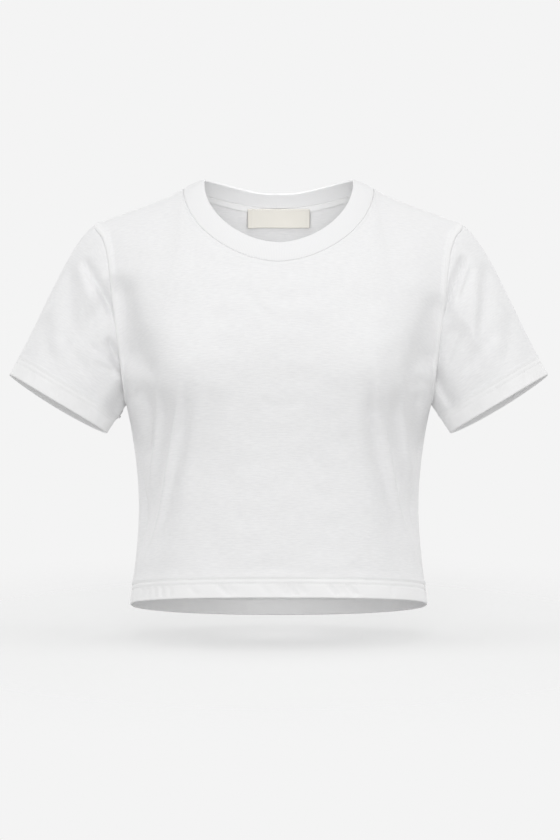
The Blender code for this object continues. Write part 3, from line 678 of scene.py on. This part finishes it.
back_puckers = hem_puckers((
    # start in x; bend and end in x and height above the hem; half width and depth
    (-0.1000, -0.0950, 0.0090, -0.0900, 0.0020, 0.0026, 0.0006),
    (-0.0420, -0.0370, 0.0090, -0.0310, 0.0020, 0.0026, 0.0006),
    (-0.0330, -0.0280, 0.0090, -0.0220, 0.0020, 0.0022, 0.0005),
    (0.0220, 0.0280, 0.0090, 0.0340, 0.0020, 0.0026, 0.0007),
    (0.0820, 0.0880, 0.0090, 0.0940, 0.0020, 0.0028, 0.0006),
    (0.1340, 0.1350, 0.0080, 0.1360, 0.0010, 0.0020, 0.0005),
    (-0.1380, -0.1385, 0.0080, -0.1390, 0.0010, 0.0020, 0.0005),
))
back_allowances = (
    # sunk, swollen and width, at the neckline, shoulder and armhole
    (0.0002, 0.0004, 0.0060),
    (0.0004, 0.0006, 0.0060),
    (0.0006, 0.0006, 0.0055),
)
back_outer, back_u, back_v, back_double_and_highlight = press(
    BACK, back_folds, (), back_puckers, 8, back_allowances
)
for edge in (0, -1):  # where front and back are sewn together they share the seam's points
    back_outer[: underarm_row + 1, edge] = front_outer[: underarm_row + 1, edge]
shoulder_reach = len(across) - neck_reach
back_outer[-1, :shoulder_reach] = front_outer[-1, :shoulder_reach]
back_outer[-1, -shoulder_reach:] = front_outer[-1, -shoulder_reach:]
back_hemmed = turn_up(back_outer, back_u, back_v, back_double_and_highlight, -BACK)
back = knit_mesh("jersey_back", *back_hemmed, -BACK)
back.data.materials.append(white_jersey)
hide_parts("back_panel")
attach(back, "root")
back_thread = sew_hem("hem_thread_back", back_hemmed, -BACK)


# ---- Sleeves -----------------------------------------------------------------------------------------
# Each sleeve is one piece of the same jersey, closed by a seam under the arm and set into the armhole.
# Its opening has a hem like the body's, and the cloth drags in short folds towards the armpit.
CUFF_OUTER, CUFF_INNER = np.array((0.2883, 0.0, -0.1992)), np.array((0.1835, 0.0, -0.2618))
CUFF_HALF_DEPTH, CUFF_FORWARD, CUFF_TILT, CUFF_DROP = 0.047, 0.006, 0.0020, 0.0018
LEAVE_TOP, LEAVE_UNDER = np.array((0.86, 0.0, -0.51)), np.array((0.50, 0.0, -0.86))
START_PULL, END_PULL, SLEEVE_SPREAD, FOLD_IN = 0.50, 0.95, 0.22, 0.06
SLEEVE_HEM = 0.0250  # height of a sleeve's rows a millimetre apart
CALM = 0.35  # sine of the turn from top or underside by which folds come to their depth
CUFF_RELIEF = 0.45  # share of the body's hem relief that a sleeve's hem has
SET_IN_SEAM = (0.0, 0.00015, 0.0030)  # sunk, swollen and width, on the sleeve's side of the armhole
UNDER_SEAM, UNDER_SEAM_START = (0.0005, 0.0012), 0.006  # depth and spread; where it comes to that depth

sleeve_folds = {
    # on the front of each sleeve, in distance from the middle and height, as for the front panel; the
    # first four run into the armhole seam
    "left": (
        (0.199, -0.072, 0.188, -0.100, 0.174, -0.140, 0.0044, 0.0105, 1.7),
        (0.186, -0.148, 0.178, -0.166, 0.166, -0.196, 0.0060, 0.0040),
        (0.162, -0.190, 0.170, -0.212, 0.190, -0.244, 0.0080, 0.0125, 1.7),
        (0.160, -0.222, 0.168, -0.232, 0.178, -0.250, 0.0070, 0.0060),
        (0.208, -0.082, 0.201, -0.100, 0.192, -0.126, 0.0034, 0.0030, 1.8),
        (0.213, -0.074, 0.211, -0.116, 0.204, -0.176, 0.0060, -0.0026, 1.8),
        (0.222, -0.074, 0.219, -0.120, 0.215, -0.172, 0.0110, 0.0040),
        (0.202, -0.150, 0.190, -0.172, 0.177, -0.200, 0.0050, 0.0024, 1.9),
        (0.236, -0.148, 0.216, -0.176, 0.192, -0.202, 0.0060, 0.0018),
        (0.250, -0.130, 0.247, -0.164, 0.236, -0.196, 0.0080, 0.0024),
    ),
    "right": (
        (0.210, -0.074, 0.192, -0.106, 0.169, -0.148, 0.0050, 0.0100, 1.7),
        (0.184, -0.162, 0.172, -0.182, 0.158, -0.214, 0.0048, 0.0095, 1.8),
        (0.160, -0.208, 0.169, -0.222, 0.184, -0.250, 0.0080, 0.0120, 1.7),
        (0.160, -0.226, 0.168, -0.236, 0.178, -0.252, 0.0070, 0.0060),
        (0.216, -0.082, 0.205, -0.110, 0.188, -0.146, 0.0055, -0.0018, 1.9),
        (0.226, -0.074, 0.224, -0.120, 0.217, -0.176, 0.0110, 0.0042),
        (0.201, -0.168, 0.186, -0.180, 0.170, -0.190, 0.0028, 0.0020, 1.8),
        (0.196, -0.190, 0.184, -0.193, 0.170, -0.198, 0.0028, 0.0020, 1.8),
        (0.238, -0.148, 0.220, -0.176, 0.196, -0.208, 0.0060, 0.0018),
        (0.252, -0.132, 0.248, -0.166, 0.240, -0.196, 0.0080, 0.0024),
    ),
}
sleeve_back_folds = (
    # on the back of both sleeves
    (0.206, -0.078, 0.194, -0.110, 0.180, -0.150, 0.0090, 0.0036),
    (0.198, -0.150, 0.186, -0.176, 0.172, -0.204, 0.0085, 0.0034),
    (0.232, -0.120, 0.222, -0.158, 0.206, -0.190, 0.0090, 0.0014),
)
sleeve_puckers = hem_puckers((
    # the same, with the share of the way round from the top in place of x
    (0.140, 0.148, 0.0090, 0.158, 0.0020, 0.0045, 0.0008),
    (0.215, 0.223, 0.0085, 0.232, 0.0010, 0.0040, 0.0011),
    (0.238, 0.246, 0.0085, 0.255, 0.0010, 0.0040, 0.0010),
    (0.305, 0.313, 0.0085, 0.322, 0.0010, 0.0040, 0.0013),
    (0.325, 0.333, 0.0085, 0.342, 0.0010, 0.0036, 0.0011),
    (0.395, 0.402, 0.0090, 0.410, 0.0020, 0.0040, 0.0008),
    (0.640, 0.648, 0.0090, 0.658, 0.0020, 0.0045, 0.0010),
    (0.780, 0.788, 0.0090, 0.796, 0.0020, 0.0045, 0.0009),
))


def set_in(side_x, folds, seed):
    """Rings of a sleeve from its hem to the armhole, each from the top round by the front."""
    edge = -1 if side_x > 0 else 0
    front_ring, back_ring = front_outer[underarm_row:, edge], back_outer[underarm_row:, edge]
    begin = np.concatenate((front_ring[::-1], back_ring[1:-1], front_ring[-1:]))
    share = np.concatenate(((1 - up_armhole[::-1]) / 2, 0.5 + up_armhole[1:-1] / 2, (1.0,)))
    mirror = np.array((side_x, 1.0, 1.0))
    outer_end, inner_end = CUFF_OUTER * mirror, CUFF_INNER * mirror
    long_half = (outer_end - inner_end) / 2
    arm = np.array((-long_half[2], 0.0, long_half[0])) * -side_x
    arm /= np.linalg.norm(arm)
    turn = 2 * math.pi * share[:, None]
    ahead, over = -np.sin(turn), np.cos(turn)
    end = (outer_end + inner_end) / 2 + long_half * over
    end = end + arm * (CUFF_TILT * ahead + CUFF_DROP * ahead * ahead)
    end = end + np.array((0.0, 1.0, 0.0)) * (CUFF_HALF_DEPTH * ahead - CUFF_FORWARD)
    under = (1 - over) / 2
    leave = (LEAVE_TOP * (1 - under) + LEAVE_UNDER * under) * mirror
    leave = leave + np.array((0.0, SLEEVE_SPREAD, 0.0)) * ahead
    leave /= np.linalg.norm(leave, axis=1, keepdims=True)
    way = np.linalg.norm(end - begin, axis=1)
    hem = np.linspace(0, SLEEVE_HEM, 26)[:-1, None] / way
    rest = SLEEVE_HEM / way + (1 - SLEEVE_HEM / way) * closing(44, 1.5)[:, None]
    s = 1 - np.concatenate((hem, rest))[..., None]
    rise = s * s * (3 - 2 * s)
    points = begin * (1 - rise) + end * rise
    points = points + leave * (way[:, None] * START_PULL * s * (1 - s) ** 2)
    points = points + arm * (way[:, None] * END_PULL * s * s * (s - 1))
    x, z = abs(points[..., 0]), points[..., 2]
    in_front = ahead[:, 0] < 0
    fade = ease(s[..., 0] / FOLD_IN)
    points[..., 1] += np.where(in_front, trough(folds[:4], x, z), 0.0) * fade
    normals = outward(points, -side_x, ring=True)
    u, v = lengths(points, 1), lengths(points, 0)
    from_armhole = v[-1:] - v
    edge_fade = ease(from_armhole / SLACK_SEAM) * ease(v / SLACK_HEM)
    side_fade = ease(abs(ahead[:, 0]) / CALM)
    troughs = np.where(in_front, trough(folds[4:], x, z), trough(sleeve_back_folds, x, z))
    lift = -troughs * edge_fade * side_fade
    lift -= trough(sleeve_puckers, np.broadcast_to(share, v.shape), v)
    lift += slack(u, v, seed) * edge_fade * side_fade
    lift += seam(from_armhole, *SET_IN_SEAM)
    from_under = u - u[:, [len(front_ring) - 1]]
    lift -= swelling(from_under, *UNDER_SEAM) * ease(from_armhole / UNDER_SEAM_START)
    lift += CUFF_RELIEF * hem_relief(v)
    points = points + normals * lift[..., None]
    points[-1] = begin
    points[:, -1] = points[:, 0]
    return turn_up(points, u, v, np.zeros_like(v), -side_x, ring=True)


for side_x, side_name, seed in ((1, "left", 21), (-1, "right", 34)):
    sleeve_hemmed = set_in(side_x, sleeve_folds[side_name], seed)
    sleeve = knit_mesh("jersey_sleeve_" + side_name, *sleeve_hemmed, -side_x, ring=True)
    sleeve.data.materials.append(white_jersey)
    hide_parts("sleeve_" + side_name)
    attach(sleeve, "root")
    sleeve_thread = sew_hem("hem_thread_sleeve_" + side_name, sleeve_hemmed, -side_x, ring=True)


# ---- Neckband ----------------------------------------------------------------------------------------
# A strip of rib, knitted one and one from the same cotton, folded in half along its length and sewn to
# the neckline by both edges. It is a little shorter than the neckline, which draws it inwards.
BAND_HEIGHT, BAND_BULGE = 0.025, 0.0010
RIB, RIB_PLY = 0.0022, 0.0010  # thickness of the folded band and of one ply
SEAM_STEP, STEP_UP = 0.0003, 0.0012  # the band comes this far out of its seam, over this height
RIPPLE, RIPPLE_LENGTH, RIPPLE_FADE = 0.00012, 0.011, 0.12  # of the seam, where the band was stretched
CLOSER_AT_SEAM = 0.0002  # the two plies lie this much closer where they are sewn
lean_turn, lean_rise = np.array((
    # turn round the neck from centre front, rise of the band above the level, in degrees
    (0.0, 60.0),
    (45.0, 50.0),
    (90.0, 25.0),
    (135.0, 27.0),
    (180.0, 33.0),
)).T

neck_columns = slice(middle - neck_reach, middle + neck_reach + 1)
neck_front, neck_back = front_outer[-1, neck_columns], back_outer[-1, neck_columns]
ring = np.concatenate((neck_front, neck_back[-2:0:-1], neck_front[:1]))
turn = np.degrees(np.arctan2(abs(ring[:, 0]), -ring[:, 1]))
rise = np.radians(smooth(lean_turn, lean_rise, turn))[:, None]
inward = ring * (-1, -1, 0)
inward /= np.linalg.norm(inward, axis=1, keepdims=True)
upright = np.array((0.0, 0.0, 1.0))
way = inward * np.cos(rise) + upright * np.sin(rise)
out = -inward * np.sin(rise) + upright * np.cos(rise)
girth = lengths(ring[None], 1)[0]
s = closing(18, 1.0)[:, None, None]
waves = 2 * math.pi * round(girth[-1] / RIPPLE_LENGTH)
rise_off = BAND_BULGE * 4 * s * (1 - s)
rise_off = rise_off + SEAM_STEP * (1 - np.exp(-s * BAND_HEIGHT / STEP_UP))
rise_off = rise_off + RIPPLE * np.sin(girth / girth[-1] * waves)[:, None] * np.exp(-s / RIPPLE_FADE)
outer_ply = ring + way * (BAND_HEIGHT - RIB / 2) * s + out * rise_off
around = np.linspace(0, math.pi, 9)[1:-1, None, None]
crest = outer_ply[-1] - out * RIB / 2 * (1 - np.cos(around)) + way * RIB / 2 * np.sin(around)
inner_ply = (outer_ply - out * (RIB - CLOSER_AT_SEAM * (1 - s)))[::-1]
band_points = np.concatenate((outer_ply, crest, inner_ply))
band_v = lengths(band_points, 0)
band_u = np.broadcast_to(girth, band_v.shape)
band = knit_mesh(
    "rib_neckband", band_points, band_u, band_v, double_and_highlight=0.0, facing=1, thickness=RIB_PLY, ring=True
)


def cotton_rib(name, light, shade, rib, depth):
    """One and one rib: upright ridges with narrow furrows between them, matt as the jersey is, with
    painted shade in the furrows.
    """
    material, tree, shader = soft_cotton(name)
    cloth = node(tree, "ShaderNodeUVMap", uv_map="cloth").outputs["UV"]
    split = node(tree, "ShaderNodeSeparateXYZ", [(cloth, 0)])
    column = node(tree, "ShaderNodeMath", [(split.outputs[0], 0), (1 / rib, 1)], operation="MULTIPLY")
    ridge = node(tree, "ShaderNodeMath", [(column.outputs[0], 0), (0.5, 1)], operation="PINGPONG")
    rounded = node(tree, "ShaderNodeMath", [(ridge.outputs[0], 0), (0.5, 1)], operation="POWER")
    # Painted shade: the furrows are coloured darker than the ridges, from the same height that drives
    # the bump.
    tones = [(rounded.outputs[0], 0), (linear(shade), 6), (linear(light), 7)]
    tint = node(tree, "ShaderNodeMix", tones, data_type="RGBA")
    tree.links.new(tint.outputs[2], shader.inputs["Base Color"])
    bump = node(tree, "ShaderNodeBump", [(rounded.outputs[0], "Height")], Distance=depth)
    tree.links.new(bump.outputs[0], shader.inputs["Normal"])
    return material


# White rib, a ridge every 1.8 mm, its furrows a little darker as painted shade.
white_rib = cotton_rib("cotton_one_and_one_rib", "#F0F0F0", "#E8E8E9", rib=0.0018, depth=0.00010)
band.data.materials.append(white_rib)
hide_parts("neckband")
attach(band, "root")


# ---- Back neck tape ----------------------------------------------------------------------------------
# A strip of jersey, about 8 mm wide, laid over the seam inside the back of the neck, from one shoulder
# to the other, and sewn down along both edges. It hides the overlocked seam and keeps its length.
TAPE = 0.0006  # thickness
TAPE_TOP, TAPE_FOOT = 0.0008, 0.0090  # how far below the neckline its edges lie
TAPE_CLEAR, PILLOW = 0.0009, 0.0005  # how far it stands off the panel, and more between its edges

behind, behind_v = back_outer[:, neck_columns], back_v[:, neck_columns]
inwards = -outward(back_outer, -BACK)[-12, neck_columns]  # a row below the tape, clear of the seam
tape_rows = []
for drop in np.linspace(TAPE_FOOT, TAPE_TOP, 13):
    pillow = PILLOW * math.sin(math.pi * (drop - TAPE_TOP) / (TAPE_FOOT - TAPE_TOP)) ** 0.5
    places = row_at(behind, behind_v, behind_v[-1] - drop)
    tape_rows.append(places + inwards * (JERSEY + TAPE + TAPE_CLEAR + pillow))
tape_points = np.array(tape_rows)
tape_u, tape_v = lengths(tape_points, 1), lengths(tape_points, 0)
tape = knit_mesh("neck_tape", tape_points, tape_u, tape_v, double_and_highlight=0.7, facing=1, thickness=TAPE)
tape.data.materials.append(white_jersey)
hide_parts("back_neck_tape")
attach(tape, "root")
bm = bmesh.new()
tape_normals = outward(tape_points, 1)
for row in (1, -2):
    needle_row(bm, tape_points[row], tape_normals[row])
tape_thread = thread_piece("tape_thread", bm)


# ---- Neck label --------------------------------------------------------------------------------------
# A plain label of cream satin, woven from polyester and cut from a ribbon. Its ends are folded under,
# and it is sewn over the tape along its upper edge, so that its lower edge hangs free.
LABEL_HALF, LABEL_HEIGHT, LABEL_TOP_Z = 0.0338, 0.024, -0.0140
SATIN, LABEL_CLEAR = 0.0004, 0.0034  # thickness, and how far it lies off the panel's outside
END_FOLD, END_STEP, END_SLOPE = 0.006, 0.0003, 0.0006  # what each end has turned under; its rise
HANG, CURL, CURL_LENGTH = 0.0022, 0.0003, 0.047  # how far its lower edge hangs clear, and its wave
label_x, label_up = np.meshgrid(np.linspace(-LABEL_HALF, LABEL_HALF, 67), np.linspace(0, 1, 23))
top_height = ridge_z[0] - ROLL + ROLL * math.asin((LABEL_TOP_Z - ridge_z[0] + ROLL) / ROLL)
label_points = lay(BACK, label_x, top_height - LABEL_HEIGHT * (1 - label_up))
label_clear = LABEL_CLEAR + END_STEP * ease((abs(label_x) - LABEL_HALF + END_FOLD) / END_SLOPE)
label_clear += HANG * (1 - label_up) ** 2
label_clear += CURL * np.sin(label_x * 2 * math.pi / CURL_LENGTH) * (1 - label_up)
label_points = label_points - outward(label_points, -BACK) * label_clear[..., None]
label_u, label_v = lengths(label_points, 1), lengths(label_points, 0)
label = knit_mesh(
    "satin_label", label_points, label_u, label_v, double_and_highlight=0.0, facing=1, thickness=SATIN
)


def woven_satin(name, colour, thread, depth):
    """Satin ribbon: smoother than the jersey, with a soft gloss from floats that all lie one way."""
    material, tree, shader = surface(
        name, Base_Color=linear(colour), Roughness=0.55, Sheen_Weight=0.10
    )
    cloth = node(tree, "ShaderNodeUVMap", uv_map="cloth").outputs["UV"]
    lines = node(tree, "ShaderNodeMapping", [(cloth, "Vector")], Scale=(0.2 / thread, 1 / thread, 1.0))
    floats = node(tree, "ShaderNodeTexNoise", [(lines.outputs[0], "Vector")], Scale=1.0, Detail=2.0)
    bump = node(tree, "ShaderNodeBump", [(floats.outputs[0], "Height")], Distance=depth)
    tree.links.new(bump.outputs[0], shader.inputs["Normal"])
    return material


# Cream ribbon, its threads 0.4 mm wide, coarser than real ones, so that they show.
cream_satin = woven_satin("polyester_satin_ribbon", "#E5E2DA", thread=0.0004, depth=0.00006)
label.data.materials.append(cream_satin)
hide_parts("neck_label")
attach(label, "root")
bm = bmesh.new()
label_normals = outward(label_points, 1)
needle_row(bm, label_points[-2, 1:-1], label_normals[-2, 1:-1])
label_thread = thread_piece("label_thread", bm)


# ---- Floor, light and camera -------------------------------------------------------------------------
# A pale floor that rises very slightly to the back and fades into a pale surround. Soft boxes stand in
# front, above, at both sides and behind, and a long lens looks from a little below the middle.
FLOOR_Z, FLOOR_SLOPE, FLOOR_HALF = -0.480, 0.14, 1.6
FADE_X, FADE_Y, FADE_START = 0.62, 0.75, 0.45  # where the floor is gone; share of the way it starts
CLEAR_NEAR = 0.62  # how clear the floor is in its middle
world = bpy.data.worlds.new("pale_surround")
bpy.context.scene.world = world
world.use_nodes = True
sky = world.node_tree
room = sky.nodes["Background"]
room.inputs["Color"].default_value = linear("#FFFFFF")
room.inputs["Strength"].default_value = 0.46
wall = node(sky, "ShaderNodeBackground")
wall.inputs["Color"].default_value = linear("#F4F4F4")
seen = node(sky, "ShaderNodeLightPath").outputs["Is Camera Ray"]
both = node(sky, "ShaderNodeMixShader", [(seen, 0), (room.outputs[0], 1), (wall.outputs[0], 2)])
sky.links.new(both.outputs[0], sky.nodes["World Output"].inputs["Surface"])

bm = bmesh.new()
bmesh.ops.create_grid(bm, x_segments=32, y_segments=32, size=FLOOR_HALF)
for vert in bm.verts:
    vert.co.z = FLOOR_Z + FLOOR_SLOPE * vert.co.y
floor = piece_of("floor", bm)
# Matt paper, without any gloss.
paper, paper_tree, paper_shader = surface(
    "matt_paper", Base_Color=linear("#F1F1F1"), Roughness=1.0, Specular_IOR_Level=0.0
)
on_floor = node(paper_tree, "ShaderNodeTexCoord").outputs["Object"]
oval = node(
    paper_tree, "ShaderNodeMapping", [(on_floor, "Vector")], Scale=(1 / FADE_X, 1 / FADE_Y, 0.0)
)
reach = node(paper_tree, "ShaderNodeVectorMath", [(oval.outputs[0], 0)], operation="LENGTH")
away = [(reach.outputs["Value"], 0)]
fade = node(paper_tree, "ShaderNodeMapRange", away, interpolation_type="SMOOTHSTEP")
fade.inputs["From Min"].default_value, fade.inputs["From Max"].default_value = FADE_START, 1.0
fade.inputs["To Min"].default_value = CLEAR_NEAR
clear = node(paper_tree, "ShaderNodeBsdfTransparent")
mixed = node(
    paper_tree,
    "ShaderNodeMixShader",
    [(fade.outputs[0], 0), (paper_shader.outputs[0], 1), (clear.outputs[0], 2)],
)
paper_tree.links.new(mixed.outputs[0], paper_tree.nodes["Material Output"].inputs["Surface"])
floor.data.materials.append(paper)

MIDDLE = Vector((0.0014, 0.0, -0.2472))  # what the lens and the soft boxes are turned to


def soft_light(name, place, way, size, power):
    """A square area light, turned this way and itself unseen."""
    data = bpy.data.lights.new(name, "AREA")
    data.size, data.energy = size, power
    lamp = bpy.data.objects.new(name, data)
    lamp.location = place
    lamp.rotation_euler = way.to_track_quat("-Z", "Y").to_euler()
    lamp.visible_camera = False
    bpy.context.scene.collection.objects.link(lamp)


for name, place, size, power in (
    ("overhead", (0.0, -0.3, 2.4), 1.8, 15.5),
    ("left_box", (-2.6, -0.6, 1.0), 1.6, 10.0),
    ("right_box", (2.6, -0.6, 1.0), 1.6, 12.0),
    ("high_box", (0.0, -2.6, 1.8), 1.8, 13.0),
    ("front_box", (0.0, -3.2, 0.2), 1.6, 24.0),
    ("reflector", (0.0, -3.0, -0.8), 1.2, 12.0),
    ("back_left_box", (-2.2, 2.0, 0.3), 1.6, 20.0),
    ("back_right_box", (2.2, 2.0, 0.3), 1.6, 20.0),
):
    soft_light(name, place, MIDDLE - Vector(place), size, power)

# Two small soft lights inside, turned to the back of the neck and of the hem, as pale cloth would
# lighten its own inside.
soft_light("neck_light", (0.0, -0.045, -0.064), Vector((0.0, 0.10, 0.006)), 0.06, 0.064)
soft_light("hem_light", (0.0, 0.01, -0.405), Vector((0.0, 0.08, -0.05)), 0.08, 0.019)

DISTANCE, RISE, FRAME_HEIGHT = 5.0, math.radians(2.5), 0.8988
lens = bpy.data.cameras.new("long_lens")
lens.lens = lens.sensor_width * DISTANCE / FRAME_HEIGHT
camera = bpy.data.objects.new("camera", lens)
camera.location = MIDDLE + Vector((0.0, -DISTANCE * math.cos(RISE), -DISTANCE * math.sin(RISE)))
camera.rotation_euler = (MIDDLE - camera.location).to_track_quat("-Z", "Y").to_euler()
bpy.context.scene.collection.objects.link(camera)
bpy.context.scene.camera = camera
bpy.context.scene.view_settings.view_transform = "Standard"
